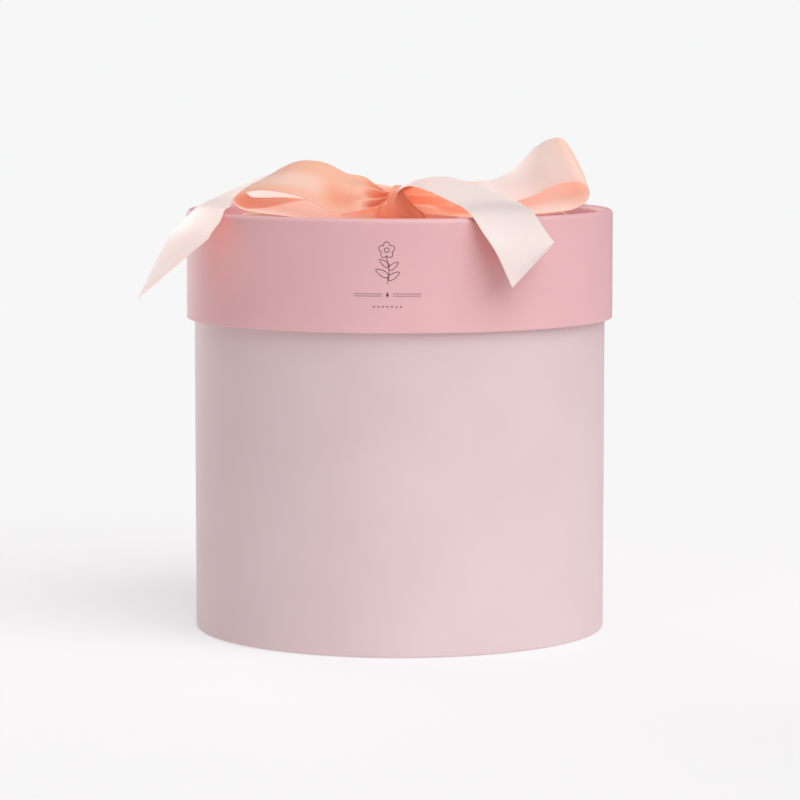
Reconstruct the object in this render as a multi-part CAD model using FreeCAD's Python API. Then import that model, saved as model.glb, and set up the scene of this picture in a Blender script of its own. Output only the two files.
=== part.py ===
"""Round lidded flower box: a paper-wrapped tube with a base, and a lift-off lid with a ribbon bow.

Frame: origin at the centre of the underside, +Z up, the bow's front towards -Y, millimetres.
The box and the lid are rolled greyboard tubes with flat board discs, all covered in thin paper.
One ribbon runs under the lid's panel, up through its two slots and into the bow on top.
"""

import os

import FreeCAD, Part

# Driving sizes
lid_outer_d = 250.0      # over the lid's paper
closed_height = 246.5    # floor to the top of the lid's rim
lid_height = 63.5        # depth of the lid, rim to lower edge
recess_depth = 10.0      # rim down to the lid's top panel
wall = 3.0               # rolled board of the box and of the lid
rim_board = 3.0          # board ring that thickens the lid's rim above the panel
panel_board = 2.5        # board disc of the lid
base_board = 3.0         # board disc of the box's bottom
paper = 0.25             # wraps, covers and linings
rim_round = 2.7          # rounding of the lid rim's top edges
base_round = 1.0         # rounding of the box board's lower edge
turn_in = 15.0           # paper folded over a rim and down inside
hem = 12.0               # paper folded under the box
cover_inset = 3.5        # base cover in from the box's outside
slot_spacing = 190.0     # between the two ribbon slots
slot_width = 3.0
ribbon_width = 38.0
ribbon_thickness = 0.4
knot_height = 22.0

# Clearances
lid_clearance = 1.0      # all round between the box and the lid's lining
seat_gap = 0.1           # box rim to the lid's ceiling
slot_end_gap = 1.5       # ribbon edge to each end of its slot
ribbon_gap = 0.1         # ribbon to the lid's ceiling

# The size that the bow's points below were laid out on
bow_lid_radius = 125.0
bow_ribbon_width = 38.0
bow_slot_x = 95.0

# Lid, outside to inside and top to bottom
lid_r = lid_outer_d / 2
lid_board_r = lid_r - paper
lid_bore_r = lid_board_r - wall
lid_inside_r = lid_bore_r - paper
rim_ring_r = lid_bore_r - rim_board
recess_r = rim_ring_r - paper
rim_z = closed_height
lid_low_z = rim_z - lid_height
lid_hem_z = lid_low_z + turn_in
panel_top_z = rim_z - recess_depth
panel_board_z = panel_top_z - paper
panel_low_z = panel_board_z - panel_board
ceiling_z = panel_low_z - paper
slot_x = slot_spacing / 2

# Box, outside to inside and top to bottom
box_r = lid_inside_r - lid_clearance
box_board_r = box_r - paper
box_bore_r = box_board_r - wall
box_inside_r = box_bore_r - paper
box_top_z = ceiling_z - seat_gap
box_hem_z = box_top_z - turn_in
cover_top_z = paper
box_low_z = cover_top_z + paper
floor_board_z = box_low_z + base_board
hem_r = box_r - hem

ribbon_low_z = ceiling_z - ribbon_gap - ribbon_thickness
ribbon_under_z = ribbon_low_z + ribbon_thickness

# Ribbon routes: pairs of near-edge and far-edge points, from the knot outwards.
# Heights of the tails and loops are from the rim, those of the leads from the panel.
right_tail_route = [
    ((0, -8, 10), (5, -3, 11)), ((5, -24, 15), (19, -12, 17)), ((8, -40, 15.5), (25, -24, 20.5)),
    ((13, -62, 15), (44, -42, 16.5)), ((25, -92, 11), (63, -71, 10)),
    ((40, -120, 2.5), (75, -101, 3)), ((46, -127, -6.5), (79, -108, -3)),
    ((53, -131, -17.5), (83, -111, -9.5)), ((62, -132, -37.5), (86, -112, -13.5)),
]
left_tail_route = [
    ((-3, 1, 9), (-5, 6, 10)), ((-22, 7, 9), (-24, 24, 14)), ((-45, 6, 7), (-48, 39, 20)),
    ((-70, 4, 6), (-76, 38, 20)), ((-88, 4, 8), (-96, 38, 12)), ((-97, -20, 8), (-107, 14, 7)),
    ((-98, -58, 6.5), (-113, -24, 5)), ((-99, -77, 3), (-119, -46, 2.5)),
    ((-101, -88, -2), (-126, -58, -6)), ((-104, -94, -6), (-131, -67, -12)),
    ((-107, -98, -11), (-148, -80, -46)),
]
left_loop_route = [
    ((-5, -9, 5), (-5, -2, 10)), ((-14, -20, 3), (-14, -4, 15)), ((-21, -34, 2), (-21, -7, 20)),
    ((-33, -40, 0), (-31, -9, 22)), ((-45, -42, 4), (-41, -9, 27)), ((-58, -42, 10), (-49, -8, 29)),
    ((-68, -41, 13), (-59, -8, 29)), ((-78, -40, 14), (-69, -7, 25)),
    ((-88, -39, 13), (-79, -5, 19)), ((-94, -38, 10), (-87, -4, 14)), ((-94, -38, 5), (-89, -3, 10)),
    ((-91, -38, 2), (-86, -3, 7)), ((-83, -38, 1), (-79, -3, 6)), ((-70, -36, -1), (-68, -2, 6)),
    ((-52, -30, -2), (-52, 1, 6)), ((-32, -20, -1), (-32, 3, 5)), ((-18, -10, 1), (-18, 3, 5)),
    ((-7, -7, 1), (-7, 0, 4)),
]
right_loop_route = [
    ((5, -3, 5), (5, 3, 9)), ((22, -6, 4), (24, 14, 11)), ((41, -14, 4), (42, 18, 14)),
    ((59, -18, 5), (55, 16, 16)), ((70, -22, 7), (65, 12, 22)), ((80, -26, 11), (74, 5, 31)),
    ((89, -32, 16), (81, 0, 38)), ((97, -37, 18), (89, -5, 42)), ((104, -41, 18), (95, -8, 42)),
    ((108, -43, 15), (99, -10, 37)), ((109, -44, 11), (101, -11, 30)),
    ((107, -44, 7), (99, -11, 23)), ((101, -43, 3), (93, -10, 16)), ((91, -40, 1), (82, -6, 10)),
    ((73, -33, 0), (66, 0, 5)), ((50, -24, -1), (46, 8, 5)), ((26, -10, 0), (25, 8, 5)),
    ((8, -6, 0), (8, 1, 3)),
]
left_lead_route = [
    ((-9, -7, 6), (-9, 5, 8)), ((-30, -13, 6), (-31, 15, 12)), ((-51, -19, 6), (-51, 19, 13)),
    ((-69, -19, 6), (-68, 19, 11)), ((-83, -19, 5), (-83, 19, 8)), ((-92, -19, 4), (-92, 19, 6)),
    ((-95, -19, 1), (-95, 19, 1)),
]
right_lead_route = [
    ((9, -7, 6), (9, 5, 8)), ((26, -11, 6), (27, 14, 12)), ((40, -16, 6), (42, 19, 11)),
    ((60, -19, 6), (60, 19, 9)), ((84, -19, 7), (84, 19, 8)), ((95, -19, 8), (95, 19, 8)),
    ((98, -19, 6), (98, 19, 6)), ((96, -19, 3), (96, 19, 3)), ((95, -19, 1), (95, 19, 1)),
]


def disc(radius, low, high):
    """Flat round board or paper."""
    return Part.makeCylinder(radius, high - low, FreeCAD.Vector(0, 0, low))


def ring(inner, outer, low, high):
    """Upright tube about the box's axis."""
    return disc(outer, low, high).cut(disc(inner, low - 1, high + 1))


def round_edges(solid, places, radius):
    """Round the circular edges that lie at each (radius, height) in places."""
    def wanted(edge):
        if not isinstance(edge.Curve, Part.Circle):
            return False
        r, z = edge.Curve.Radius, edge.Curve.Center.z
        return any(abs(r - pr) < 1e-4 and abs(z - pz) < 1e-4 for pr, pz in places)

    return solid.makeFillet(radius, [edge for edge in solid.Edges if wanted(edge)])


def joined(first, *others):
    """One solid from pieces that touch or overlap."""
    return first.multiFuse(list(others)).removeSplitter()


def limited(radius, thickness):
    """A rounding that one edge of a board has room for."""
    return min(radius, 0.92 * thickness)


def box_tube():
    """Rolled board wall of the box, its lower outside edge eased."""
    tube = ring(box_bore_r, box_board_r, box_low_z, box_top_z - paper)
    return round_edges(tube, [(box_board_r, box_low_z)], limited(base_round, wall))


def box_wrap():
    """Outer paper: up the wall, over its rim and down inside, and hemmed under the box."""
    skin = ring(box_inside_r, box_r, cover_top_z, box_top_z)
    skin = round_edges(skin, [(box_r, cover_top_z)], limited(base_round, wall) + paper)
    under = ring(hem_r, box_board_r - wall / 2, cover_top_z, box_low_z)
    bare_inside = ring(box_inside_r, box_bore_r, box_low_z, box_hem_z)
    return joined(skin.cut(box_tube()).cut(bare_inside), under)


def box_lining():
    """Inside paper, from the floor board to the turned-in edge of the wrap."""
    return ring(box_inside_r, box_bore_r, floor_board_z, box_hem_z)


def base_disc():
    """Bottom board inside the tube, its underside stepped round the paper's hem."""
    return joined(disc(box_bore_r, box_low_z, floor_board_z), disc(hem_r, cover_top_z, box_low_z))


def floor_lining():
    """Paper on the inside of the bottom board."""
    return disc(box_inside_r, floor_board_z, floor_board_z + paper)


def base_cover():
    """Paper under the box that hides the hem; the box stands on it."""
    return disc(box_r - cover_inset, 0, cover_top_z)


def rim_rounding():
    """The rim's rounding, the same inside and out, as the thinner of its two boards allows."""
    return limited(rim_round, min(wall, rim_board))


def lid_tube():
    """Rolled board wall of the lid, its outer top edge rounded."""
    top = rim_z - paper
    tube = ring(lid_bore_r, lid_board_r, lid_low_z + paper, top)
    return round_edges(tube, [(lid_board_r, top)], rim_rounding())


def rim_ring():
    """Board ring glued inside the lid's wall on top of the panel, its inner top edge rounded."""
    top = rim_z - paper
    return round_edges(ring(rim_ring_r, lid_bore_r, panel_board_z, top), [(rim_ring_r, top)], rim_rounding())


def lid_wrap():
    """Outer paper: up the lid, over the thick rim to the panel, and turned in at the lower edge."""
    radius = rim_rounding() + paper
    skin = joined(ring(lid_inside_r, lid_r, lid_low_z, rim_z), ring(recess_r, lid_bore_r, panel_board_z, rim_z))
    skin = round_edges(skin, [(recess_r, rim_z), (lid_r, rim_z)], radius)
    bare_inside = ring(lid_inside_r, lid_bore_r, lid_hem_z, panel_board_z)
    return skin.cut(lid_tube()).cut(rim_ring()).cut(bare_inside)


def slotted(plate):
    """Cut the two ribbon slots through a plate of the lid."""
    length = ribbon_width + 2 * slot_end_gap
    for side in (-1, 1):
        corner = FreeCAD.Vector(side * slot_x - slot_width / 2, -length / 2, ceiling_z - 1)
        plate = plate.cut(Part.makeBox(slot_width, length, recess_depth + panel_board, corner))
    return plate


def lid_panel():
    """Board disc across the lid, set down from the rim."""
    return slotted(disc(lid_bore_r, panel_low_z, panel_board_z))


def panel_cover():
    """Paper on top of the panel."""
    return slotted(disc(recess_r, panel_board_z, panel_top_z))


def lid_ceiling_lining():
    """Paper under the panel."""
    return slotted(disc(lid_bore_r, ceiling_z, panel_low_z))


def lid_side_lining():
    """Paper inside the lid's wall, from the ceiling to the turned-in edge of the wrap."""
    return ring(lid_inside_r, lid_bore_r, lid_hem_z, ceiling_z)


def placed(route, spread, base_z, hold):
    """Route points at this box's size: spread with the lid, and as wide as the ribbon.

    hold is the part of the width that keeps its place: 0 the near edge, 0.5 the middle, 1 the far edge.
    """
    stretch = ribbon_width / bow_ribbon_width
    stations = []
    for near, far in route:
        near, far = FreeCAD.Vector(*near), FreeCAD.Vector(*far)
        held, across = near + (far - near) * hold, (far - near) * stretch
        held = FreeCAD.Vector(held.x * spread, held.y * spread, held.z + base_z)
        stations.append((held - across * hold, held + across * (1 - hold)))
    return stations


def ribbon_solid(stations):
    """Band through the stations in short flat stretches, each station a thin cross section."""
    centres = [(near + far) * 0.5 for near, far in stations]
    last = len(centres) - 1
    sections = []
    for i, (near, far) in enumerate(stations):
        run = centres[min(i + 1, last)] - centres[max(i - 1, 0)]
        normal = (far - near).cross(run).normalize() * (ribbon_thickness / 2)
        corners = [near + normal, far + normal, far - normal, near - normal, near + normal]
        sections.append(Part.makePolygon(corners))
    return Part.makeLoft(sections, True, True)


def bow_piece(route, hold):
    """A tail or a loop, which spreads with the lid and keeps its height over the rim."""
    return ribbon_solid(placed(route, lid_r / bow_lid_radius, rim_z, hold))


def lead(route):
    """A run from the knot to a slot, then down through the slot to the ribbon underneath."""
    stations = placed(route, slot_x / bow_slot_x, panel_top_z, 0.5)
    side = 1 if route[-1][0][0] > 0 else -1
    ends = [FreeCAD.Vector(side * slot_x, y * ribbon_width / 2, ribbon_under_z) for y in (-1, 1)]
    return ribbon_solid(stations + [tuple(ends)])


def under_run():
    """The ribbon flat under the lid's panel, from slot to slot."""
    length = slot_spacing + ribbon_thickness
    corner = FreeCAD.Vector(-length / 2, -ribbon_width / 2, ribbon_low_z)
    return Part.makeBox(length, ribbon_width, ribbon_thickness, corner)


def bow_knot():
    """Wrapped knot: oval sections that flare from the pinch at the top down to the panel."""
    low = panel_top_z + 1
    sections = []
    for share, half_x, half_y in ((0, 13, 12), (0.35, 11, 11), (0.72, 8, 9), (1, 5, 6)):
        centre = FreeCAD.Vector(0, -3, low + share * knot_height)
        oval = Part.Ellipse(centre, max(half_x, half_y), min(half_x, half_y))
        edge = oval.toShape()
        if half_y > half_x:
            edge.rotate(centre, FreeCAD.Vector(0, 0, 1), 90)
        sections.append(Part.Wire(edge))
    return Part.makeLoft(sections, True, False)


nodes = {
    "box_tube": box_tube,
    "box_wrap": box_wrap,
    "box_lining": box_lining,
    "base_disc": base_disc,
    "floor_lining": floor_lining,
    "base_cover": base_cover,
    "lid_tube": lid_tube,
    "rim_ring": rim_ring,
    "lid_wrap": lid_wrap,
    "lid_panel": lid_panel,
    "panel_cover": panel_cover,
    "lid_ceiling_lining": lid_ceiling_lining,
    "lid_side_lining": lid_side_lining,
    "ribbon_under_run": under_run,
    "ribbon_left_lead": lambda: lead(left_lead_route),
    "ribbon_right_lead": lambda: lead(right_lead_route),
    "bow_knot": bow_knot,
    "bow_left_loop": lambda: bow_piece(left_loop_route, 1),
    "bow_right_loop": lambda: bow_piece(right_loop_route, 1),
    "bow_left_tail": lambda: bow_piece(left_tail_route, 0),
    "bow_right_tail": lambda: bow_piece(right_tail_route, 0.5),
}

os.makedirs("parts", exist_ok=True)
for name, make in nodes.items():
    shape = make()
    shape.exportStep(os.path.join("parts", name + ".step"))
    box = shape.BoundBox
    print(f"{name}: {len(shape.Solids)} solid, valid {shape.isValid()}, {shape.Volume:.0f} mm3, "
          f"x {box.XMin:.1f}..{box.XMax:.1f} y {box.YMin:.1f}..{box.YMax:.1f} "
          f"z {box.ZMin:.2f}..{box.ZMax:.2f}")
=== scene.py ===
# Round flower box: a matt paper-wrapped box and lid, with a satin ribbon bow on the lid.
import math

import bpy
import numpy as np
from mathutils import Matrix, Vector


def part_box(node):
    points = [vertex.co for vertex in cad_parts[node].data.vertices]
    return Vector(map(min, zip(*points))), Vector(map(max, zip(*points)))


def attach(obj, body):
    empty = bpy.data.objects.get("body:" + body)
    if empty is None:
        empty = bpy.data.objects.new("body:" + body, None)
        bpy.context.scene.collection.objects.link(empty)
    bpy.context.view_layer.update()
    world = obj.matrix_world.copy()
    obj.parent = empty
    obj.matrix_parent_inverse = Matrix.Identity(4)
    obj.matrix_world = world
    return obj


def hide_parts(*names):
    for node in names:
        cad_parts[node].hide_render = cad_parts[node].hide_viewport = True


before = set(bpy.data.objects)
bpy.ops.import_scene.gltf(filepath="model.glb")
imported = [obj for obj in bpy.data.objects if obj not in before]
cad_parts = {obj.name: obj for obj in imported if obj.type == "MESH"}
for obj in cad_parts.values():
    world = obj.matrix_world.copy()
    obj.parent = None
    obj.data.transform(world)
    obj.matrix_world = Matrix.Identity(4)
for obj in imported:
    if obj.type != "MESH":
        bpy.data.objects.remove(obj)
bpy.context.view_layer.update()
mm = 0.001

# places and thicknesses from the frame, in metres
lidLow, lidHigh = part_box("lid_wrap")
boxLow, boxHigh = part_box("box_wrap")
underRunLow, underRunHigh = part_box("ribbon_under_run")
lidRadius, rimHeight = lidHigh.x, lidHigh.z
panelTop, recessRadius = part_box("panel_cover")[1].z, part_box("panel_cover")[1].x
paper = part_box("base_cover")[1].z
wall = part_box("lid_tube")[1].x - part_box("rim_ring")[1].x
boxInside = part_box("floor_lining")[1].x
boxRadius = boxInside + wall + 2 * paper
print("frame: lid radius", round(lidRadius, 4), "rim", round(rimHeight, 4), "panel", round(panelTop, 4))

ribbon = dict(width=38 * mm, thickness=0.3 * mm, columns=61)


# colours and nodes

def hexLinear(code):  # sRGB hex to linear RGBA
    value = np.array([int(code[i:i + 2], 16) / 255 for i in (0, 2, 4)])
    linear = np.where(value <= 0.04045, value / 12.92, ((value + 0.055) / 1.055) ** 2.4)
    return (*(float(x) for x in linear), 1.0)


def addNode(tree, kind, inputs=None, stops=(), **settings):
    # inputs: name or index to a value or to (node, output); stops: a colour ramp's (place, hex) pairs
    node = tree.nodes.new(kind)
    for key, value in settings.items():
        setattr(node, key, value)
    for key, value in (inputs or {}).items():
        if isinstance(value, tuple) and isinstance(value[0], bpy.types.Node):
            tree.links.new(value[0].outputs[value[1]], node.inputs[key])
        else:
            node.inputs[key].default_value = value
    if stops:
        elements = node.color_ramp.elements
        while len(elements) < len(stops):
            elements.new(0.5)
        for element, (place, code) in zip(elements, stops):
            element.position, element.color = place, hexLinear(code)
    return node


def newMaterial(name):
    material = bpy.data.materials.new(name)
    material.use_nodes = True
    material.node_tree.nodes.clear()
    return material, material.node_tree


def mattCoatedPaper(name, look):
    # matt coated art paper, printed and laminated: a soft even face with a trace of fibre,
    # and slow waves where it is glued over rolled board. Its fibres are drawn coarser than they are,
    # so that they can show.
    material, tree = newMaterial(name)
    where = addNode(tree, "ShaderNodeTexCoord")
    tone, fibre, wave = (
        addNode(tree, "ShaderNodeTexNoise", {
            "Vector": (where, "Object"), "Scale": 1 / (size * mm), "Detail": detail})
        for size, detail in ((look["toneSize"], 3.0), (look["fibreSize"], 4.0), (look["waveSize"], 1.0)))
    colour = addNode(tree, "ShaderNodeValToRGB", {"Fac": (tone, "Fac")},
                     stops=[(0.25, look["dark"]), (0.75, look["light"])])
    gloss = addNode(tree, "ShaderNodeMapRange", {
        "Value": (fibre, "Fac"), "To Min": look["smooth"], "To Max": look["rough"]})
    slow = addNode(tree, "ShaderNodeBump", {
        "Height": (wave, "Fac"), "Strength": 0.35, "Distance": look["waveDepth"] * mm})
    fine = addNode(tree, "ShaderNodeBump", {
        "Height": (fibre, "Fac"), "Strength": 0.5, "Distance": look["fibreDepth"] * mm,
        "Normal": (slow, "Normal")})
    shader = addNode(tree, "ShaderNodeBsdfPrincipled", {
        "Base Color": (colour, "Color"), "Roughness": (gloss, "Result"), "Normal": (fine, "Normal"),
        "IOR": 1.47, "Specular IOR Level": look["specular"]})
    addNode(tree, "ShaderNodeOutputMaterial", {"Surface": (shader, "BSDF")})
    return material


lidPaperLook = dict(dark="E8B3B7", light="EDBABD", toneSize=45, fibreSize=0.5, waveSize=16, waveDepth=0.25,
                    fibreDepth=0.02, smooth=0.44, rough=0.56, specular=0.9)
boxPaperLook = dict(dark="E0C7C9", light="E6CED0", toneSize=60, fibreSize=0.5, waveSize=18, waveDepth=0.25,
                    fibreDepth=0.02, smooth=0.46, rough=0.58, specular=0.7)


def uncoatedPaper():
    # white uncoated lining paper: dry, slightly warm, with fibres that show as a faint tooth, drawn coarse
    look = dict(dark="EDE8E1", light="F5F1EB", fibreSize=0.8, toothDepth=0.05, rough=0.85)
    material, tree = newMaterial("uncoatedWhiteLiningPaper")
    where = addNode(tree, "ShaderNodeTexCoord")
    fibre = addNode(tree, "ShaderNodeTexNoise", {
        "Vector": (where, "Object"), "Scale": 1 / (look["fibreSize"] * mm), "Detail": 6.0, "Roughness": 0.7})
    colour = addNode(tree, "ShaderNodeValToRGB", {"Fac": (fibre, "Fac")},
                     stops=[(0.3, look["dark"]), (0.7, look["light"])])
    tooth = addNode(tree, "ShaderNodeBump", {
        "Height": (fibre, "Fac"), "Strength": 0.4, "Distance": look["toothDepth"] * mm})
    shader = addNode(tree, "ShaderNodeBsdfPrincipled", {
        "Base Color": (colour, "Color"), "Normal": (tooth, "Normal"), "Roughness": look["rough"]})
    addNode(tree, "ShaderNodeOutputMaterial", {"Surface": (shader, "BSDF")})
    return material


def greyMillboard():
    # pressed grey millboard: recycled fibre with pale and dark flecks
    look = dict(dark="958B7E", light="ADA497", fleckSize=1.2, fleckDepth=0.08, rough=0.9)
    material, tree = newMaterial("pressedGreyMillboard")
    where = addNode(tree, "ShaderNodeTexCoord")
    fleck = addNode(tree, "ShaderNodeTexVoronoi", {
        "Vector": (where, "Object"), "Scale": 1 / (look["fleckSize"] * mm)})
    colour = addNode(tree, "ShaderNodeValToRGB", {"Fac": (fleck, "Distance")},
                     stops=[(0.1, look["dark"]), (0.6, look["light"])])
    pits = addNode(tree, "ShaderNodeBump", {
        "Height": (fleck, "Distance"), "Strength": 0.5, "Distance": look["fleckDepth"] * mm})
    shader = addNode(tree, "ShaderNodeBsdfPrincipled", {
        "Base Color": (colour, "Color"), "Normal": (pits, "Normal"), "Roughness": look["rough"]})
    addNode(tree, "ShaderNodeOutputMaterial", {"Surface": (shader, "BSDF")})
    return material


def wovenSatin():
    # single-faced polyester satin ribbon: long floats along its length give a soft streaked gloss. Its colour
    # is deeper peach on its dull side, and its depth is also painted shade, deeper where layers lie close and
    # shade falls between them, and paler as painted light where light falls.
    # The real warp is about 0.1 mm apart, and is drawn coarser so that its streaks can show.
    look = dict(blush="F6E2DB", peach="F0B7A0", coral="EC8763", warpPitch=0.5, streaksPerMetre=30.0,
                threadDepth=0.05, edgeWidth=0.9, edgeFade=0.6, smooth=0.30, rough=0.46, scatterDepth=2.0)
    material, tree = newMaterial("wovenSatinRibbon")
    # painted shade: a per-point attribute picks the colour from blush to coral, deeper where shade falls
    warmth = addNode(tree, "ShaderNodeAttribute", attribute_name="warmth")
    colour = addNode(tree, "ShaderNodeValToRGB", {"Fac": (warmth, "Fac")},
                     stops=[(0.0, look["blush"]), (0.5, look["peach"]), (1.0, look["coral"])])
    uv = addNode(tree, "ShaderNodeUVMap", uv_map="cloth")
    streak = addNode(tree, "ShaderNodeMapping", {
        "Vector": (uv, "UV"), "Scale": (look["streaksPerMetre"], 1 / (look["warpPitch"] * mm), 1.0)})
    warp = addNode(tree, "ShaderNodeTexNoise", {"Vector": (streak, "Vector"), "Scale": 1.0, "Detail": 2.0})
    tint = addNode(tree, "ShaderNodeMapRange", {
        "Value": (warp, "Fac"), "From Min": 0.3, "From Max": 0.7, "To Min": 0.965, "To Max": 1.0})
    # the two woven edges: a narrow, slightly denser band
    halfWidth, edgeWidth = ribbon["width"] / 2, look["edgeWidth"] * mm
    split = addNode(tree, "ShaderNodeSeparateXYZ", {"Vector": (uv, "UV")})
    inward = addNode(tree, "ShaderNodeMath", {0: (split, "Y"), 1: halfWidth}, operation="SUBTRACT")
    fromMiddle = addNode(tree, "ShaderNodeMath", {0: (inward, "Value")}, operation="ABSOLUTE")
    edge = addNode(tree, "ShaderNodeMapRange", {
        "Value": (fromMiddle, "Value"), "From Min": halfWidth - edgeWidth,
        "From Max": halfWidth - look["edgeFade"] * edgeWidth, "To Min": 1.0, "To Max": 0.94})
    shade = addNode(tree, "ShaderNodeMath", {0: (tint, "Result"), 1: (edge, "Result")}, operation="MULTIPLY")
    mixed = addNode(tree, "ShaderNodeVectorMath", {0: (colour, "Color"), "Scale": (shade, "Value")},
                    operation="SCALE")
    # painted light: an emitted glow in the cloth's own colour, set per point, stands in for light that comes
    # through the cloth over layers under others
    soak = addNode(tree, "ShaderNodeAttribute", attribute_name="soak")
    through = addNode(tree, "ShaderNodeVectorMath", {0: (colour, "Color"), "Scale": (soak, "Fac")},
                      operation="SCALE")
    thread = addNode(tree, "ShaderNodeBump", {
        "Height": (warp, "Fac"), "Strength": 0.25, "Distance": look["threadDepth"] * mm})
    gloss = addNode(tree, "ShaderNodeMapRange", {
        "Value": (warp, "Fac"), "To Min": look["smooth"], "To Max": look["rough"]})
    shader = addNode(tree, "ShaderNodeBsdfPrincipled", {
        "Base Color": (mixed, "Vector"), "Roughness": (gloss, "Result"), "Normal": (thread, "Normal"),
        "IOR": 1.5, "Sheen Weight": 0.15, "Sheen Roughness": 0.35,
        "Subsurface Weight": 0.7, "Subsurface Radius": (1.0, 0.62, 0.5),
        "Subsurface Scale": look["scatterDepth"] * mm,
        "Emission Color": (through, "Vector"), "Emission Strength": 1.0})
    addNode(tree, "ShaderNodeOutputMaterial", {"Surface": (shader, "BSDF")})
    return material


def screenInk():
    # dark brown screen ink: matt, and a little uneven, so it shows paler in places
    look = dict(dark="5A3B3B", light="7A5556", patchSize=0.7, rough=0.6)
    material, tree = newMaterial("screenPrintedBrownInk")
    where = addNode(tree, "ShaderNodeTexCoord")
    patch = addNode(tree, "ShaderNodeTexNoise", {
        "Vector": (where, "Object"), "Scale": 1 / (look["patchSize"] * mm), "Detail": 3.0})
    colour = addNode(tree, "ShaderNodeValToRGB", {"Fac": (patch, "Fac")},
                     stops=[(0.35, look["dark"]), (0.75, look["light"])])
    shader = addNode(tree, "ShaderNodeBsdfPrincipled", {
        "Base Color": (colour, "Color"), "Roughness": look["rough"]})
    addNode(tree, "ShaderNodeOutputMaterial", {"Surface": (shader, "BSDF")})
    return material


def studioFloor():
    # opal acrylic light table: plain, pale and dull, and it fades into the studio's white far away
    look = dict(colour="BCBCBD", rough=0.9, specular=0.1, glow=0.455, nearEdge=1.0, farEdge=4.0)
    material, tree = newMaterial("opalAcrylicLightTable")
    where = addNode(tree, "ShaderNodeTexCoord")
    away = addNode(tree, "ShaderNodeVectorMath", {0: (where, "Object")}, operation="LENGTH")
    gone = addNode(tree, "ShaderNodeMapRange", {
        "Value": (away, "Value"), "From Min": look["nearEdge"], "From Max": look["farEdge"]},
        interpolation_type="SMOOTHSTEP")
    shader = addNode(tree, "ShaderNodeBsdfPrincipled", {
        "Base Color": hexLinear(look["colour"]), "Roughness": look["rough"],
        "Specular IOR Level": look["specular"],
        "Emission Color": hexLinear("FFFFFF"), "Emission Strength": look["glow"]})
    clear = addNode(tree, "ShaderNodeBsdfTransparent")
    both = addNode(tree, "ShaderNodeMixShader", {
        0: (gone, "Result"), 1: (shader, "BSDF"), 2: (clear, "BSDF")})
    addNode(tree, "ShaderNodeOutputMaterial", {"Surface": (both, "Shader")})
    return material


lidPaper = mattCoatedPaper("mattCoatedPaperPink", lidPaperLook)
boxPaper = mattCoatedPaper("mattCoatedPaperPale", boxPaperLook)
liningPaper = uncoatedPaper()
millboard = greyMillboard()
satin = wovenSatin()
ink = screenInk()
print("materials made")


# camera, light and floor

cameraLook = dict(distance=2.0467, height=0.3437, side=0.0002, lens=156.8, pitch=5.871)
cameraData = bpy.data.cameras.new("camera")
cameraData.lens = cameraLook["lens"]
camera = bpy.data.objects.new("camera", cameraData)
camera.location = (cameraLook["side"], -cameraLook["distance"], cameraLook["height"])
camera.rotation_euler = (math.radians(90 - cameraLook["pitch"]), 0, 0)
bpy.context.scene.collection.objects.link(camera)
bpy.context.scene.camera = camera
bpy.context.scene.view_settings.view_transform = "Standard"


def addSun(name, look):
    # azimuth from the front, positive to the right; a wide sun is a soft, even studio lamp
    data = bpy.data.lights.new(name, "SUN")
    data.energy, data.angle = look["strength"], math.radians(look["spread"])
    data.color = hexLinear(look["colour"])[:3]
    lamp = bpy.data.objects.new(name, data)
    a, e = math.radians(look["azimuth"]), math.radians(look["elevation"])
    towards = Vector((math.sin(a) * math.cos(e), -math.cos(a) * math.cos(e), math.sin(e)))
    lamp.rotation_euler = towards.to_track_quat("Z", "Y").to_euler()
    bpy.context.scene.collection.objects.link(lamp)


addSun("keyLamp", dict(azimuth=38, elevation=44, strength=1.78, spread=60, colour="FCFFFF"))
addSun("topLamp", dict(azimuth=10, elevation=82, strength=0.72, spread=70, colour="FFFFFF"))
addSun("backLamp", dict(azimuth=-148, elevation=9, strength=0.85, spread=40, colour="FFFFFF"))

# the studio's white walls as they are seen, and the softer, pinker light that they give back
wallLook = dict(seen="F7F7F8", fill="FFF3F5", fillStrength=0.29)
world = bpy.data.worlds.new("studio")
bpy.context.scene.world = world
world.use_nodes = True
worldTree = world.node_tree
worldTree.nodes.clear()
sight = addNode(worldTree, "ShaderNodeLightPath")
seen = addNode(worldTree, "ShaderNodeBackground", {"Color": hexLinear(wallLook["seen"]), "Strength": 1.0})
fill = addNode(worldTree, "ShaderNodeBackground", {
    "Color": hexLinear(wallLook["fill"]), "Strength": wallLook["fillStrength"]})
either = addNode(worldTree, "ShaderNodeMixShader", {
    0: (sight, "Is Camera Ray"), 1: (fill, "Background"), 2: (seen, "Background")})
addNode(worldTree, "ShaderNodeOutputWorld", {"Surface": (either, "Shader")})

floorSize = 30.0
floorMesh = bpy.data.meshes.new("floor")
floorCorners = [(x * floorSize, y * floorSize, 0) for x, y in ((-1, -1), (1, -1), (1, 1), (-1, 1))]
floorMesh.from_pydata(floorCorners, [], [(0, 1, 2, 3)])
floorMesh.materials.append(studioFloor())
floor = bpy.data.objects.new("floor", floorMesh)
bpy.context.scene.collection.objects.link(floor)
print("camera, lamps and floor made")


# meshes from arrays

def facingOut(points, faces):  # a closed skin's signed volume tells which way its faces turn
    a, b, c, d = ((points - points.mean(axis=0))[faces[:, i]] for i in range(4))
    volume = (np.cross(b - a, c - a) * a).sum() + (np.cross(c - a, d - a) * a).sum()
    return faces[:, ::-1] if volume < 0 else faces


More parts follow.
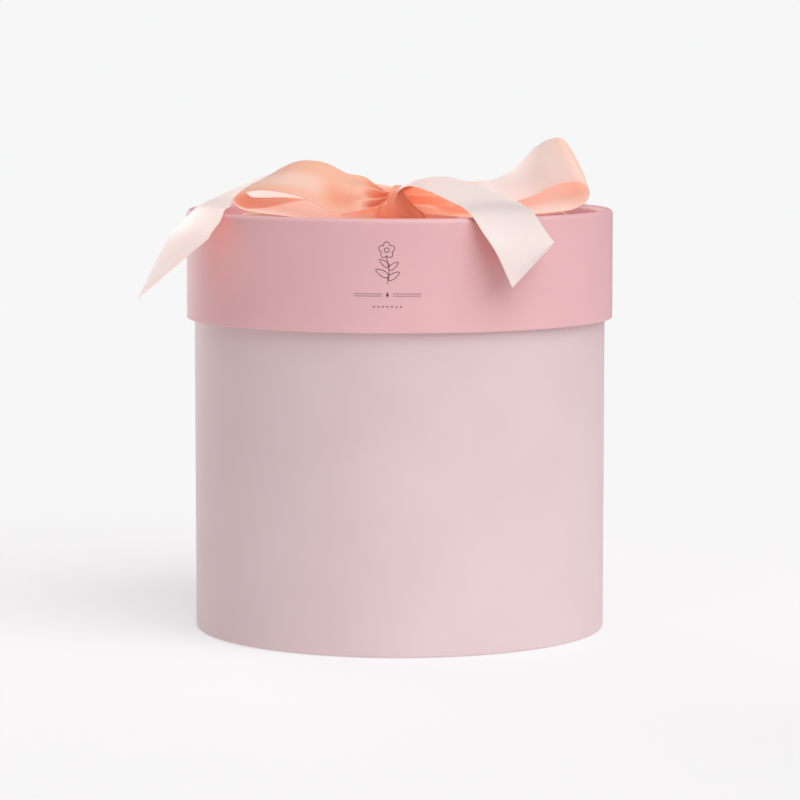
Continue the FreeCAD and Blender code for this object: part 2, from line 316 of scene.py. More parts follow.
def makePiece(name, points, faces, material, body, uv=None, numbers=None, sharp=40):
    # a smooth mesh that rides on a body; uv and numbers give each point its cloth place and attributes
    faces = facingOut(points, faces)
    mesh = bpy.data.meshes.new(name)
    mesh.from_pydata(points.tolist(), [], faces.tolist())
    mesh.polygons.foreach_set("use_smooth", np.ones(len(mesh.polygons), bool))
    if uv is not None:
        layer = mesh.uv_layers.new(name="cloth")
        layer.data.foreach_set("uv", uv[faces.ravel()].astype(np.float32).ravel())
    for key, values in (numbers or {}).items():
        mesh.attributes.new(key, "FLOAT", "POINT").data.foreach_set("value", values.astype(np.float32))
    mesh.set_sharp_from_angle(angle=math.radians(sharp))
    mesh.materials.append(material)
    mesh.update()
    piece = bpy.data.objects.new(name, mesh)
    bpy.context.scene.collection.objects.link(piece)
    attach(piece, body)
    return piece


def ringFaces(rows, ring, closed):
    # quads between each row and the next, round a ring of points; closed joins the last row to the first
    i = np.arange(rows if closed else rows - 1)[:, None]
    k = np.arange(ring)[None, :]
    i2, k2 = (i + 1) % rows, (k + 1) % ring
    return np.stack([i * ring + k, i * ring + k2, i2 * ring + k2, i2 * ring + k], -1).reshape(-1, 4)


def unit(vectors):
    return vectors / np.maximum(np.linalg.norm(vectors, axis=-1, keepdims=True), 1e-12)


def fade(value, low, high):  # smooth step from 0 at low to 1 at high
    s = np.clip((value - low) / (high - low), 0, 1)
    return s * s * (3 - 2 * s)


# paper wraps

def arcPoints(centre, radius, start, end, count=7):  # points on an arc in the (r, z) plane, degrees
    a = np.radians(np.linspace(start, end, count))
    return np.stack([centre[0] + radius * np.cos(a), centre[1] + radius * np.sin(a)], -1)


def uprightLine(radius, low, high, count):  # points straight up or down in the (r, z) plane
    return np.stack([np.full(count, radius), np.linspace(low, high, count)], -1)


# the lap's width and the step at its edge in mm, and how many waves round the skin the creases have
wrapLook = dict(lap=14, step=0.2, creases=61, drift=7, beat=11)


def turnedWrap(name, node, body, material, path, look):
    # a paper skin turned about Z: P = ((r + d)cos a, (r + d)sin a, z), with d the small lift of the lap
    # seam at the back and of the fine creases where the paper is drawn inwards. path is the outer face
    # from one hem to the other, and the paper's thickness goes to its left-hand side
    path = np.array(path)
    turn = unit(np.gradient(path, axis=0))
    inward = np.stack([-turn[:, 1], turn[:, 0]], -1)
    ring = np.concatenate([path, (path + inward * (paper - 0.01 * mm))[::-1]])
    outer = np.concatenate([np.ones(len(path)), np.zeros(len(path))])
    seam, lap = math.radians(90), wrapLook["lap"] * mm / lidRadius
    near = np.linspace(-0.25, 1.1, 28) * lap  # extra rows across the lap seam
    angles = np.unique(np.concatenate([np.linspace(0, 2 * math.pi, 361)[:-1], seam + near]))
    offset = (angles - seam) / lap
    lift = wrapLook["step"] * mm * np.where(offset < 0, fade(offset, -0.04, 0), 1 - fade(offset, 0.2, 1.0))
    creases = (np.sin(angles * wrapLook["creases"] + 2 * np.sin(angles * wrapLook["drift"]))
               * (0.6 + 0.4 * np.sin(angles * wrapLook["beat"] + 1)))
    r, z = ring[:, 0][None], ring[:, 1][None]
    drawn = (np.abs(ring[:, 0] - look["creaseRadius"]) < 0.2 * mm) & (ring[:, 1] > look["creaseAbove"])
    d = (lift[:, None] * outer * (r > look["seamOutside"])
         + creases[:, None] * drawn * look["creaseDepth"] * mm)
    points = np.stack([(r + d) * np.cos(angles)[:, None], (r + d) * np.sin(angles)[:, None],
                       np.broadcast_to(z, d.shape)], -1)
    faces = ringFaces(len(angles), len(ring), True)
    piece = makePiece(name, points.reshape(-1, 3), faces, material, body, sharp=50)
    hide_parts(node)


def lidPath():
    # down from the hem's edge inside, round the lower edge, up the face, over the rim and down to the panel
    look = dict(rim=2.95 * mm, edge=0.5 * mm, turnIn=14.9 * mm, halfTurnIn=8 * mm,
                faceStart=3 * mm, faceEnd=2 * mm, recessStart=1 * mm, panelGap=0.02 * mm)
    inside, low = lidRadius - wall - 2 * paper, lidLow.z
    rim, edge = look["rim"], look["edge"]
    rimStart = rimHeight - rim
    return np.concatenate([
        [(inside, low + look["turnIn"]), (inside, low + look["halfTurnIn"])],
        arcPoints((inside + edge, low + edge), edge, 180, 270),
        arcPoints((lidRadius - edge, low + edge), edge, 270, 360),
        uprightLine(lidRadius, low + look["faceStart"], rimStart - look["faceEnd"], 24),
        arcPoints((lidRadius - rim, rimStart), rim, 0, 90, 15),
        arcPoints((recessRadius + rim, rimStart), rim, 90, 180, 15),
        uprightLine(recessRadius, rimStart - look["recessStart"], panelTop + look["panelGap"], 6),
    ])


def boxPath():
    # from the hem under the base, up the face, over the top edge and down inside
    look = dict(top=0.6 * mm, foot=1.25 * mm, hem=12 * mm, halfHem=6 * mm,
                faceStart=4 * mm, faceEnd=2 * mm, halfTurnIn=7 * mm, turnIn=14.9 * mm)
    top, foot, low, high = look["top"], look["foot"], boxLow.z, boxHigh.z
    return np.concatenate([
        [(boxRadius - look["hem"], low), (boxRadius - look["halfHem"], low)],
        arcPoints((boxRadius - foot, low + foot), foot, 270, 360, 9),
        uprightLine(boxRadius, low + look["faceStart"], high - look["faceEnd"], 40),
        arcPoints((boxRadius - top, high - top), top, 0, 90),
        arcPoints((boxInside + top, high - top), top, 90, 180),
        [(boxInside, high - look["halfTurnIn"]), (boxInside, high - look["turnIn"])],
    ])


lidWrapLook = dict(creaseRadius=recessRadius, creaseAbove=panelTop - 1 * mm, creaseDepth=0.05,
                   seamOutside=lidRadius - 2 * mm)
boxWrapLook = dict(creaseRadius=boxInside, creaseAbove=boxHigh.z - 20 * mm, creaseDepth=0.04,
                   seamOutside=boxRadius - 2 * mm)
turnedWrap("lid_wrap_paper", "lid_wrap", "lid", lidPaper, lidPath(), lidWrapLook)
turnedWrap("box_wrap_paper", "box_wrap", "box", boxPaper, boxPath(), boxWrapLook)
print("paper wraps made")

# board and papers that keep their CAD shape
finishes = {
    "box_tube": millboard, "base_disc": millboard, "lid_tube": millboard,
    "rim_ring": millboard, "lid_panel": millboard,
    "box_lining": liningPaper, "floor_lining": liningPaper,
    "lid_ceiling_lining": liningPaper, "lid_side_lining": liningPaper,
    "panel_cover": lidPaper, "base_cover": boxPaper,
}
for node, material in finishes.items():
    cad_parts[node].data.materials.clear()
    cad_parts[node].data.materials.append(material)
print("board and linings finished")


# the printed ornament on the lid's front, in mm: a flower on a stem, two double rules and a row of dots

ornament = dict(
    turn=-3.1, middle=-24.5, line=0.42, proud=0.03, sunk=0.1,
    stemFoot=-11.5, stemRise=15.0, stemSway=0.9, stemBend=1.2,
    flower=(-0.4, 7.2), petals=4.6, eye=1.3,
    leaves=((0.3, -9, 32, 7.5, 3.0), (0.5, -7.5, 150, 8.0, 3.2),  # x, z, angle, length and width
            (0.9, -3.5, 38, 6.5, 2.6), (0.9, -2.0, 143, 6.5, 2.6)),
    rules=-17.6, ruleStart=3.0, ruleEnd=18.5, ruleGap=0.6, ruleLine=0.7, diamond=1.6, diamondWidth=1.2,
    row=-24.2, rowHalf=7.5, rowCount=7, dot=0.6, dotWidth=0.8)


def inkStroke(path, widths, closed=False):
    # a flat line of ink bent onto the lid: a point (s, z) of its edge goes to
    # ((R + h) sin(a + s/R), -(R + h) cos(a + s/R), z), with h its small height over the paper
    path = np.array(path, float)
    widths = np.broadcast_to(widths, len(path))[:, None]
    if closed:
        turn = unit(np.roll(path, -1, axis=0) - np.roll(path, 1, axis=0))
    else:
        turn = unit(np.gradient(path, axis=0))
    across = np.stack([turn[:, 1], -turn[:, 0]], -1) * widths / 2
    flat = np.stack([path - across, path + across, path + across, path - across], 1)
    h = np.array([ornament["proud"], ornament["proud"], -ornament["sunk"], -ornament["sunk"]]) * mm
    angle = math.radians(ornament["turn"]) + flat[..., 0] * mm / lidRadius
    points = np.stack([(lidRadius + h) * np.sin(angle), -(lidRadius + h) * np.cos(angle),
                       rimHeight + flat[..., 1] * mm], -1).reshape(-1, 3)
    faces = ringFaces(len(path), 4, closed)
    if not closed:
        end = (len(path) - 1) * 4
        faces = np.concatenate([faces, [[3, 2, 1, 0], [end, end + 1, end + 2, end + 3]]])
    return points, facingOut(points, faces)


def around(count):  # angles once round, without the last
    return np.linspace(0, 2 * math.pi, count + 1)[:-1]


def leafOutline(base, angle, length, width):  # x = L(1 - cos t)/2, y = W sin t (1 + 0.3 cos t)/2, then turned
    t = around(40)
    x, y = length / 2 * (1 - np.cos(t)), width / 2 * np.sin(t) * (1 + 0.3 * np.cos(t))
    c, n = math.cos(math.radians(angle)), math.sin(math.radians(angle))
    return np.stack([base[0] + x * c - y * n, base[1] + x * n + y * c], -1)


def petalOutline(centre, radius):  # r = R(0.66 + 0.34 |cos 2.5t|), five petals
    t = around(160)
    r = radius * (0.66 + 0.34 * np.abs(np.cos(2.5 * (t - math.pi / 2))))
    return np.stack([centre[0] + r * np.cos(t), centre[1] + r * np.sin(t)], -1)


def circleOutline(centre, radius):  # (R cos t, R sin t)
    t = around(32)
    return np.stack([centre[0] + radius * np.cos(t), centre[1] + radius * np.sin(t)], -1)


def diamondStroke(x, z, half, width):  # a short upright stroke that swells at its middle
    upright = np.stack([np.full(5, x), z + np.linspace(-half, half, 5)], -1)
    return inkStroke(upright, np.array([0.04, 0.7, 1.5, 0.7, 0.04]) * width)


def printOrnament(look):
    line, middle = look["line"], look["middle"]
    flower = (look["flower"][0], middle + look["flower"][1])
    rise = np.linspace(0, 1, 24)
    stem = np.stack([look["stemSway"] * np.sin(rise * math.pi * look["stemBend"]),
                     middle + look["stemFoot"] + look["stemRise"] * rise], -1)
    strokes = [inkStroke(stem, line), inkStroke(petalOutline(flower, look["petals"]), line, True),
               inkStroke(circleOutline(flower, look["eye"]), line, True)]
    strokes += [inkStroke(leafOutline((x, middle + z), angle, length, width), line, True)
                for x, z, angle, length, width in look["leaves"]]
    for side in (-1, 1):
        rule = np.linspace(look["ruleStart"], look["ruleEnd"], 40) * side
        for gap in (-look["ruleGap"], look["ruleGap"]):
            level = np.full(40, middle + look["rules"] + gap)
            strokes.append(inkStroke(np.stack([rule, level], -1), line * look["ruleLine"]))
    strokes.append(diamondStroke(0.0, middle + look["rules"], look["diamond"], look["diamondWidth"]))
    strokes += [diamondStroke(place, middle + look["row"], look["dot"], look["dotWidth"])
                for place in np.linspace(-look["rowHalf"], look["rowHalf"], look["rowCount"])]
    start = np.cumsum([0] + [len(points) for points, _ in strokes[:-1]])
    points = np.concatenate([points for points, _ in strokes])
    faces = np.concatenate([faces + first for (_, faces), first in zip(strokes, start)])
    makePiece("printed_flower_ornament", points, faces, ink, "lid", sharp=30)


printOrnament(ornament)
print("ornament printed")


# the ribbon

def hermiteLine(points, knots, at):
    # cubic through the points, on each span (2s^3-3s^2+1)P0 + (s^3-2s^2+s)hM0 + (3s^2-2s^3)P1 + (s^3-s^2)hM1
    steps = np.diff(knots)[:, None]
    slopes = np.diff(points, axis=0) / steps
    inner = (slopes[:-1] * steps[1:] + slopes[1:] * steps[:-1]) / (steps[1:] + steps[:-1])
    tangents = np.vstack([slopes[:1], inner, slopes[-1:]])
    span = np.clip(np.searchsorted(knots, at, side="right") - 1, 0, len(knots) - 2)
    h = (knots[span + 1] - knots[span])[:, None]
    s = (at - knots[span])[:, None] / h
    return ((2 * s**3 - 3 * s**2 + 1) * points[span] + (s**3 - 2 * s**2 + s) * h * tangents[span]
            + (3 * s**2 - 2 * s**3) * points[span + 1] + (s**3 - s**2) * h * tangents[span + 1])


def runAlong(points, power=1.0):  # the sum, up to each point, of the steps' lengths to a power
    steps = np.linalg.norm(np.diff(points, axis=0), axis=1) ** power
    return np.concatenate([[0], np.cumsum(steps)])


def evenPlaces(points, rows, samples):
    # the smooth line's knots, the places on them that part it into even steps, and its length
    knots = runAlong(points, 0.75)
    fine = np.linspace(0, knots[-1], samples)
    run = runAlong(hermiteLine(points, knots, fine))
    return knots, np.interp(np.linspace(0, run[-1], rows), run, fine), run[-1]


def closedBand(middle):
    # the cloth's two sides, P = M + n t/2 and M - n t/2, with its edges and ends closed
    rows, columns = middle.shape[:2]
    n = unit(np.cross(np.gradient(middle, axis=1), np.gradient(middle, axis=0)))
    top, bottom = middle + n * ribbon["thickness"] / 2, middle - n * ribbon["thickness"] / 2
    points = np.concatenate([top, bottom[:, ::-1]], axis=1).reshape(-1, 3)
    ring = 2 * columns
    k = np.arange(columns - 1)
    first = np.stack([k + 1, k, ring - 1 - k, ring - 2 - k], -1)
    last = np.stack([k, k + 1, ring - 2 - k, ring - 1 - k], -1) + (rows - 1) * ring
    return points, np.concatenate([ringFaces(rows, ring, False), first, last])


def satinPiece(name, middle, length, across, numbers):
    # the closed band with its satin; across is each point's share of the width, on both sides of the cloth
    uu, vv = np.meshgrid(np.linspace(0, 1, len(middle)), across, indexing="ij")
    uv = np.stack([uu * length, vv * ribbon["width"]], -1).reshape(-1, 2)
    numbers = {key: rule(uu, vv).ravel() for key, rule in numbers.items()}
    piece = makePiece(name, *closedBand(middle), satin, "lid", uv, numbers)
    print(name, "length", round(length, 4))
    return piece, length


# what a band has unless its own dictionary says otherwise; outer is -1 where its first side faces inwards
usualBand = dict(arch=0, archStart=0.15, archEnd=0.02, gather=(0, 1), pleatShare=0.9, bothEnds=False, outer=1,
                 slowWobble=0.12, slowTurns=7.3, quickWobble=0.07, quickTurns=17, uneven=0.35)


def ribbonBand(name, route, look, warmth, soak):
    # A ruled band between two edge lines, P = near + v(far - near) + n(arch 4v(1-v) + pleats), with a wall of
    # the cloth's thickness. Where the edges are w apart, nearer than the ribbon is wide, the spare width
    # goes into pleats of depth 2a, from a sine's length: a = w/(2 pi n) sqrt(4x + (pi x)^2/4), with
    # x = width/w - 1. The pleats are uneven in v and wobble along u.
    look = usualBand | look
    rows, columns, count, phase = look["rows"], ribbon["columns"], look["pleats"], look["phase"]
    nearPoints, farPoints = np.array(route, float)[:, 0], np.array(route, float)[:, 1]
    knots, at, length = evenPlaces((nearPoints + farPoints) / 2, rows, rows * 12)
    near, far = hermiteLine(nearPoints, knots, at), hermiteLine(farPoints, knots, at)
    v = np.linspace(0, 1, columns)[None, :, None]
    u = np.linspace(0, 1, rows)[:, None, None]
    base = near[:, None] * (1 - v) + far[:, None] * v
    wide = np.linalg.norm(far - near, axis=1)[:, None, None]
    alongRow = unit(np.gradient(base, axis=0))
    normal = unit(np.cross(np.broadcast_to(unit(far - near)[:, None], base.shape), alongRow))
    spare = np.clip(ribbon["width"] / wide - 1, 0, None)
    depth = wide / (2 * math.pi * count) * np.sqrt(4 * spare + math.pi**2 / 4 * spare**2) * look["pleatShare"]
    gatherFrom, gatherTo = (x * mm for x in look["gather"])
    gather = 1 - fade(u * length, gatherFrom, gatherTo)
    if look["bothEnds"]:
        gather = np.maximum(gather, 1 - fade((1 - u) * length, gatherFrom, gatherTo))
    wobble = (look["slowWobble"] * np.sin(look["slowTurns"] * u + phase)
              + look["quickWobble"] * np.sin(look["quickTurns"] * u + 2 * phase))
    uneven = v + look["uneven"] * v * (1 - v) * np.sin(3 * phase)
    folds = np.sin(2 * math.pi * (count * uneven + phase + wobble))
    arch = (look["arch"] * mm * 4 * v * (1 - v)
            * fade(u, 0, look["archStart"]) * fade(1 - u, 0, look["archEnd"]))
    middle = base + normal * (arch + depth * folds * gather)
    across = np.concatenate([np.linspace(0, 1, columns), np.linspace(1, 0, columns)])
    side = np.concatenate([np.ones(columns), -np.ones(columns)]) * look["outer"]  # 1 on the bow's outside
    # each point's painted shade, from its place and side, and its painted glow
    return satinPiece(name, middle, length, across, {
        "warmth": lambda uu, vv: np.clip(warmth(uu, vv, np.broadcast_to(side, uu.shape)), 0, 1),
        "soak": lambda uu, vv: soak(uu, vv, np.broadcast_to(side, uu.shape))})


def shadeTowardsKnot(low, high, back):  # painted shade from low to high towards the knot, where shade falls, and back on the dull side
    def rule(u, v, side):
        face = low + (high - low) * (1 - fade(u, 0.0, 0.45))
        return np.where(side > 0, face, back)
    return rule


def even(value):  # one painted glow all over
    return lambda u, v, side: np.full(u.shape, value)


bowSink = 1.2 * mm


def placed(route, base):  # given points in mm, heights from base, to metres
    return [[(x * mm, y * mm, base + z * mm) for x, y, z in pair] for pair in route]


# near-edge and far-edge points in mm; tails and loops are measured from the rim, leads from the panel
rightTailRoute = [
    ((-3, -9, 9.5), (0, -4, 11.5)), ((2, -24, 14.5), (15, -12, 17.5)), ((8, -40, 15.5), (25, -24, 20.5)),
    ((13, -62, 15), (44, -42, 16.5)), ((25, -92, 11), (63, -71, 10)),
    ((40, -120, 2.5), (75, -101, 3)), ((46, -127, -6.5), (79, -108, -3)),
    ((53, -131, -17), (83, -111, -9)), ((62, -132, -36.5), (86, -112, -12.5)),
]
leftTailRoute = [
    ((-3, 1, 9), (-5, 6, 10)), ((-22, 7, 9), (-24, 24, 14)), ((-45, 6, 7), (-48, 39, 20)),
    ((-70, 4, 4), (-76, 38, 20)), ((-88, 4, 5), (-96, 38, 12)), ((-96, -20, 6), (-107, 14, 7.5)),
    ((-97, -58, 4.4), (-113, -24, 5.5)), ((-99, -77, 3.4), (-118, -46, 2.4)),
    ((-101, -88, -2), (-126, -58, -6)), ((-104, -94, -6), (-131, -67, -12)),
    ((-107, -98, -11), (-148, -80, -46)),
]
leftLoopRoute = [
    ((-5, -9, 5), (-5, -2, 10)), ((-14, -20, 3), (-14, -4, 15)), ((-21, -34, 2), (-21, -7, 20)),
    ((-33, -40, 0), (-31, -9, 22)), ((-45, -42, 4), (-41, -9, 27)), ((-58, -42, 10), (-49, -8, 29)),
    ((-68, -41, 12.2), (-59, -8, 29)), ((-78, -40, 13.4), (-69, -7, 25)),
    ((-87, -39, 12.6), (-79, -5, 19)), ((-94, -38, 10.2), (-87, -4, 14)), ((-96, -38, 7), (-90, -3, 11)),
    ((-92, -38, 3), (-87, -3, 8)), ((-84, -38, 1), (-80, -3, 7.5)), ((-70, -36, -1), (-68, -2, 7.5)),
    ((-52, -30, -3.5), (-52, 1, 6)), ((-32, -22, -4), (-32, 3, 5)), ((-18, -14, -3.5), (-18, 3, 5)),
    ((-5, -11, -3), (-5, 0, 4)),
]
rightLoopRoute = [
    ((1, -3, 5), (1, 3, 12)), ((20, -6, 4), (22, 14, 15)), ((41, -14, 4), (42, 18, 16)),
    ((59, -18, 5), (55, 16, 17)), ((70, -22, 7), (65, 12, 22)), ((80, -26, 11), (74, 5, 31)),
    ((89, -32, 16), (81, 0, 38)), ((97, -37, 18), (89, -5, 42)), ((104, -41, 18), (95, -8, 42)),
    ((108, -43, 15), (99, -10, 37)), ((109, -44, 11), (101, -11, 30)),
    ((107, -44, 7), (99, -11, 24)), ((101, -43, 3), (93, -10, 19)), ((91, -40, 1), (82, -6, 14)),
    ((73, -33, -1), (66, 0, 8)), ((50, -26, -3), (46, 8, 5)), ((26, -16, -4), (25, 8, 5)),
    ((4, -11, -3), (4, 1, 4)),
]
leftLeadRoute = [
    ((-9, -7, 6), (-9, 5, 8)), ((-30, -13, 6), (-31, 15, 12)), ((-51, -19, 6), (-51, 19, 13)),
    ((-69, -19, 6), (-68, 19, 11)), ((-83, -19, 5), (-83, 19, 8)), ((-92, -19, 4), (-92, 19, 6)),
    ((-95, -19, 1), (-95, 19, 1)), ((-95, -19, -3.1), (-95, 19, -3.1)),
]
rightLeadRoute = [
    ((5, -11, 4), (6, 5, 8)), ((26, -16, 4), (27, 14, 12)), ((40, -16, 6), (42, 19, 11)),
    ((60, -19, 6), (60, 19, 9)), ((84, -19, 7), (84, 19, 8)), ((95, -19, 8), (95, 19, 8)),
    ((98, -19, 6), (98, 19, 6)), ((96, -19, 3), (96, 19, 3)), ((95, -19, 1), (95, 19, 1)),
    ((95, -19, -3.1), (95, 19, -3.1)),
]
# x, y, height over the rim and width of the knot's face, in mm, from the back round to the front
knotRoute = [
    (0, 8, -8, 20), (0, 8, 1, 15), (-0.5, 5, 9, 8), (-0.8, 0, 12.8, 5), (-1, -6, 13.3, 4),
    (-1.3, -10.5, 10.8, 5.5), (-1.9, -13.8, 4.2, 15.5), (-0.6, -15.2, 0, 22), (0.4, -15.6, -2.5, 26),
    (0.5, -15.5, -8, 29),
]


def knotWrap():
    # The band that pulls the bow in, P = C(u) + x across + d out, with its two margins turned under:
    # x = s up to half the face's width h, then round a small bend and back again. Folds fan out with the
    # face's width from the pinch at the top: d = a cos(2 pi n x/h + p) - crown (x/h)^2 + a narrow ridge.
    look = dict(rows=110, columns=97, bend=0.8 * mm, tuckLeft=0.9 * mm, tuckRight=0.2 * mm,
                fold=0.65 * mm, folds=1.15, foldTurn=2.2, crown=1.6 * mm,
                ridge=0.95 * mm, ridgeAt=-0.08, ridgeWidth=0.085, warm=0.78, knotShadeDeepening=0.15, soak=0.19)
    stations = np.array(knotRoute, float) * mm
    stations[:, 2] += rimHeight
    knots, at, length = evenPlaces(stations[:, :3], look["rows"], 1200)
    line = hermiteLine(stations, knots, at)
    centre, half = line[:, :3], line[:, 3:4] / 2
    along = unit(np.gradient(centre, axis=0))
    across = np.broadcast_to([1.0, 0.0, 0.0], centre.shape)
    out = unit(np.cross(across, along))
    out *= np.sign((out * (centre - centre.mean(axis=0))).sum(axis=1, keepdims=True).mean())
    bend = look["bend"]
    under = np.minimum(ribbon["width"] / 2 - half, math.pi * bend + 1.7 * half)
    s = np.linspace(-1, 1, look["columns"])[None, :]
    reach = np.abs(s) * (half + under)
    turn = np.clip((reach - half) / bend, 0, math.pi)
    back = np.clip(reach - half - math.pi * bend, 0, None)
    x = np.sign(s) * (np.minimum(reach, half) + bend * np.sin(turn) - back)
    tuck = np.where(s < 0, look["tuckLeft"], look["tuckRight"]) * fade(back, 0, 3 * mm)
    share = x / half
    folds = look["fold"] * np.cos(2 * math.pi * look["folds"] * share + look["foldTurn"])
    ridge = look["ridge"] * np.exp(-((share - look["ridgeAt"]) / look["ridgeWidth"]) ** 2)
    onFace = (1 - fade(turn, 0, 1.5)) * fade(half, 1 * mm, 6 * mm)
    d = -bend * (1 - np.cos(turn)) - tuck + onFace * (folds - look["crown"] * share**2 + ridge)
    middle = centre[:, None] + across[:, None] * x[..., None] + out[:, None] * d[..., None]
    # painted shade: the knot is painted a deep peach, deeper towards its front, with an even painted glow
    return satinPiece("knot_wrap", middle, length, np.concatenate([s[0], s[0, ::-1]]) / 2 + 0.5, {
        "warmth": lambda uu, vv: look["warm"] + look["knotShadeDeepening"] * fade(uu, 0.6, 1),
        "soak": lambda uu, vv: np.full(uu.shape, look["soak"])})


# Painted shade, painted light and painted glow of each part of the loops and tails: the colour is deeper
# where shade falls between layers and paler where light falls, and an emitted glow stands in for light
# through the cloth. u runs from the knot along the ribbon, v from its near edge to its far edge, and side is
# 1 on the bow's outside. A pair is a fade's start and end along u.

leftLoopPaintedLight = dict(face=0.5, belly=0.22, hollow=0.28, byKnot=0.35, knotFade=(0.03, 0.14),
                      strip=0.16, inside=0.42, lowerEnd=0.5, lowerFade=(0.78, 0.98),
                      stripWidth=0.95, stripGrows=(0.5, 0.74), faceGlow=0.01, insideGlow=0.22, stripGlow=0.13)
rightLoopPaintedLight = dict(face=0.03, byKnot=0.75, knotFade=(0.1, 0.24),
                       pastTurn=0.3, turnFade=(0.4, 0.5), drift=0.05,
                       inside=0.22, atTurn=0.3, turnWidth=0.1, lower=0.4, lowerFade=(0.64, 0.85),
                       faceGlow=0.17, knotGlow=0.08, knotGlowFade=(0.12, 0.3),
                       turnGlow=0.08, turnGlowFade=(0.34, 0.46), insideGlow=0.26)
rightTailGlowAmounts = dict(faceGlow=0.02, coveredGlow=0.19, coveredFade=(0.6, 0.76), insideGlow=0.03)
leftTailGlowAmounts = dict(soak=0.18, coveredGlow=0.1, coveredFade=(0.4, 0.7))


def paintedLitStrip(u, v):
    # 1 on the pale strip along the near edge of the left loop's lower layer, which widens towards the knot:
    # painted light, kept pale and given more painted glow where a lit lower layer shows
    edge = leftLoopPaintedLight["stripWidth"] * fade(u, *leftLoopPaintedLight["stripGrows"])
    return 1 - fade(v - edge, -0.03, 0.03)


def patch(u, v, rise, fall, centre):  # 1 in a soft patch between two fades along u, about a centre line in v
    return fade(u, *rise) * (1 - fade(u, *fall)) * (1 - fade(np.abs(v - centre), 0.05, 0.35))


def leftLoopPaintedShading(u, v, side):
    # outside: peach, with painted light paler low on the belly, and painted shade deeper in a hollow and by
    # the knot;
    # inside: deep painted shade, but for the pale strip of painted light
    look = leftLoopPaintedLight
    belly = patch(u, v, (0.2, 0.32), (0.42, 0.5), 0.4)
    hollow = patch(u, v, (0.1, 0.17), (0.2, 0.27), 0.3)
    outside = (look["face"] - look["belly"] * belly + look["hollow"] * hollow
               + look["byKnot"] * (1 - fade(u, *look["knotFade"])))
    inside = (look["strip"] + look["inside"] * (1 - paintedLitStrip(u, v))
              + look["lowerEnd"] * fade(u, *look["lowerFade"]))
    return np.where(side > 0, outside, inside)


# painted glow: slight on the outside; more inside the loop, and more again on the pale strip
def leftLoopGlow(u, v, side):
    look = leftLoopPaintedLight
    return np.where(side > 0, look["faceGlow"], look["insideGlow"] + look["stripGlow"] * paintedLitStrip(u, v))


def rightLoopPaintedShading(u, v, side):
    # outside: blush, with painted shade deeper by the knot and past the turn; inside: painted shade, deeper
    # at the turn and underneath
    look = rightLoopPaintedLight
    outside = (look["face"] + look["byKnot"] * (1 - fade(u, *look["knotFade"]))
               + look["pastTurn"] * fade(u, *look["turnFade"]) + look["drift"] * np.sin(9 * u + 4 * v))
    inside = (look["inside"] + look["atTurn"] * (1 - fade(np.abs(u - 0.5), 0.0, look["turnWidth"]))
              + look["lower"] * fade(u, *look["lowerFade"]))
    return np.where(side > 0, outside, inside)


# painted glow: on the outside, more by the knot and less past the turn; even inside
def rightLoopGlow(u, v, side):
    look = rightLoopPaintedLight
    face = (look["faceGlow"] + look["knotGlow"] * (1 - fade(u, *look["knotGlowFade"]))
            - look["turnGlow"] * fade(u, *look["turnGlowFade"]))
    return np.where(side > 0, face, look["insideGlow"])


# painted glow: on the outside, stronger from the knot to about two thirds along; faint underneath
def rightTailGlow(u, v, side):
    look = rightTailGlowAmounts
    covered = look["coveredGlow"] * (1 - fade(u, *look["coveredFade"]))
    return np.where(side > 0, look["faceGlow"] + covered, look["insideGlow"])


# painted glow all along the left tail, stronger over its first half
def leftTailGlow(u, v, side):
    look = leftTailGlowAmounts
    return look["soak"] + look["coveredGlow"] * (1 - fade(u, *look["coveredFade"]))


bowBase = rimHeight - bowSink
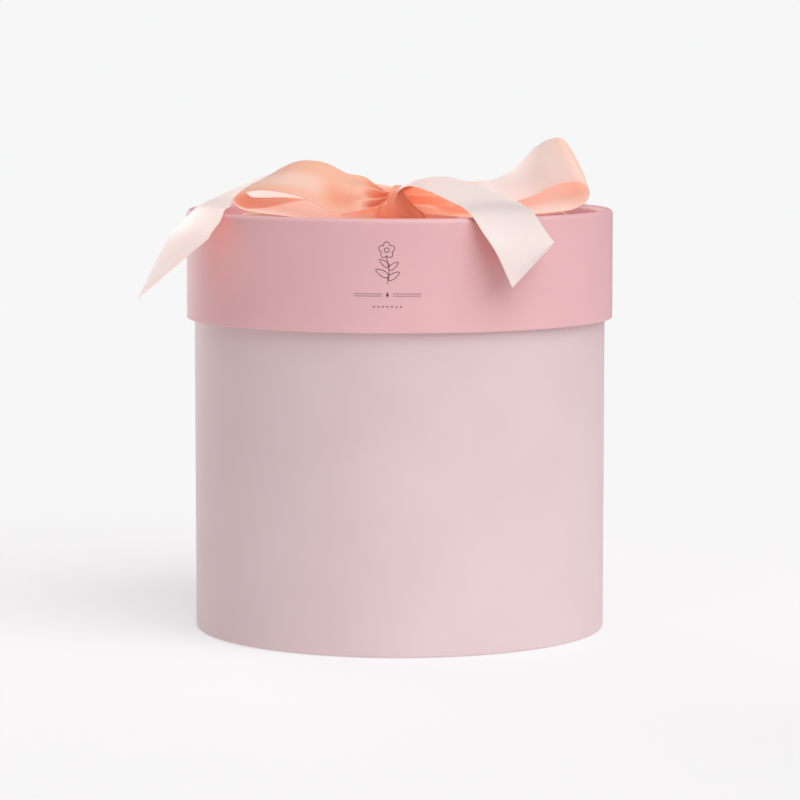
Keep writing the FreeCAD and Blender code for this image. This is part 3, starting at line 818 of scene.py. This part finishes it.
# tails and leads: painted shade deeper towards the knot and on the dull side, and painted glow
rightTail = ribbonBand("right_tail", placed(rightTailRoute, bowBase), dict(
    rows=150, pleats=4, phase=0.25, arch=-1.6, gather=(4, 26), pleatShare=0.5, outer=-1),
    shadeTowardsKnot(0.02, 0.16, 0.9), rightTailGlow)
leftTail = ribbonBand("left_tail", placed(leftTailRoute, bowBase), dict(
    rows=190, pleats=2, phase=0.6, arch=1.2, gather=(20, 60)),
    shadeTowardsKnot(0.02, 0.3, 0.5), leftTailGlow)
leftLoop = ribbonBand("left_loop", placed(leftLoopRoute, bowBase), dict(
    rows=220, pleats=2.5, phase=0.35, arch=1.0, archEnd=0.15, gather=(14, 46), pleatShare=0.75,
    bothEnds=True), leftLoopPaintedShading, leftLoopGlow)
rightLoop = ribbonBand("right_loop", placed(rightLoopRoute, bowBase), dict(
    rows=240, pleats=2, phase=0.1, arch=-1.0, archEnd=0.15, gather=(14, 46), pleatShare=0.75,
    bothEnds=True, outer=-1), rightLoopPaintedShading, rightLoopGlow)
leftLead = ribbonBand("left_lead", placed(leftLeadRoute, panelTop), dict(
    rows=120, pleats=2, phase=0.0, arch=0.8, archEnd=0.4, gather=(10, 45), pleatShare=0.6),
    shadeTowardsKnot(0.35, 0.75, 0.7), even(0.24))
rightLead = ribbonBand("right_lead", placed(rightLeadRoute, panelTop), dict(
    rows=130, pleats=2, phase=0.5, arch=-0.8, archEnd=0.4, gather=(10, 45), pleatShare=0.6, outer=-1),
    shadeTowardsKnot(0.55, 0.85, 0.8), even(0.28))
knot = knotWrap()
underRoute = [[(x, y, (underRunLow.z + underRunHigh.z) / 2) for y in (underRunLow.y, underRunHigh.y)]
              for x in np.linspace(underRunLow.x, underRunHigh.x, 6)]
underRun = ribbonBand("under_run", underRoute, dict(
    rows=60, pleats=2, phase=0),
    shadeTowardsKnot(0.2, 0.2, 0.3), even(0.0))

sheets = [
    (rightTail, "bow_right_tail", "draped", ["lid_wrap_paper"]),
    (leftTail, "bow_left_tail", "draped", ["lid_wrap_paper"]),
    (leftLoop, "bow_left_loop", "gathered", ["knot_wrap"]),
    (rightLoop, "bow_right_loop", "gathered", ["knot_wrap"]),
    (leftLead, "ribbon_left_lead", "gathered", ["lid_panel"]),
    (rightLead, "ribbon_right_lead", "gathered", ["lid_panel"]),
    (knot, "bow_knot", "gathered", ["panel_cover"]),
    (underRun, "ribbon_under_run", "stretched", ["lid_panel"]),
]
for (piece, length), node, held, restsOn in sheets:
    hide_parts(node)
print("ribbon made")
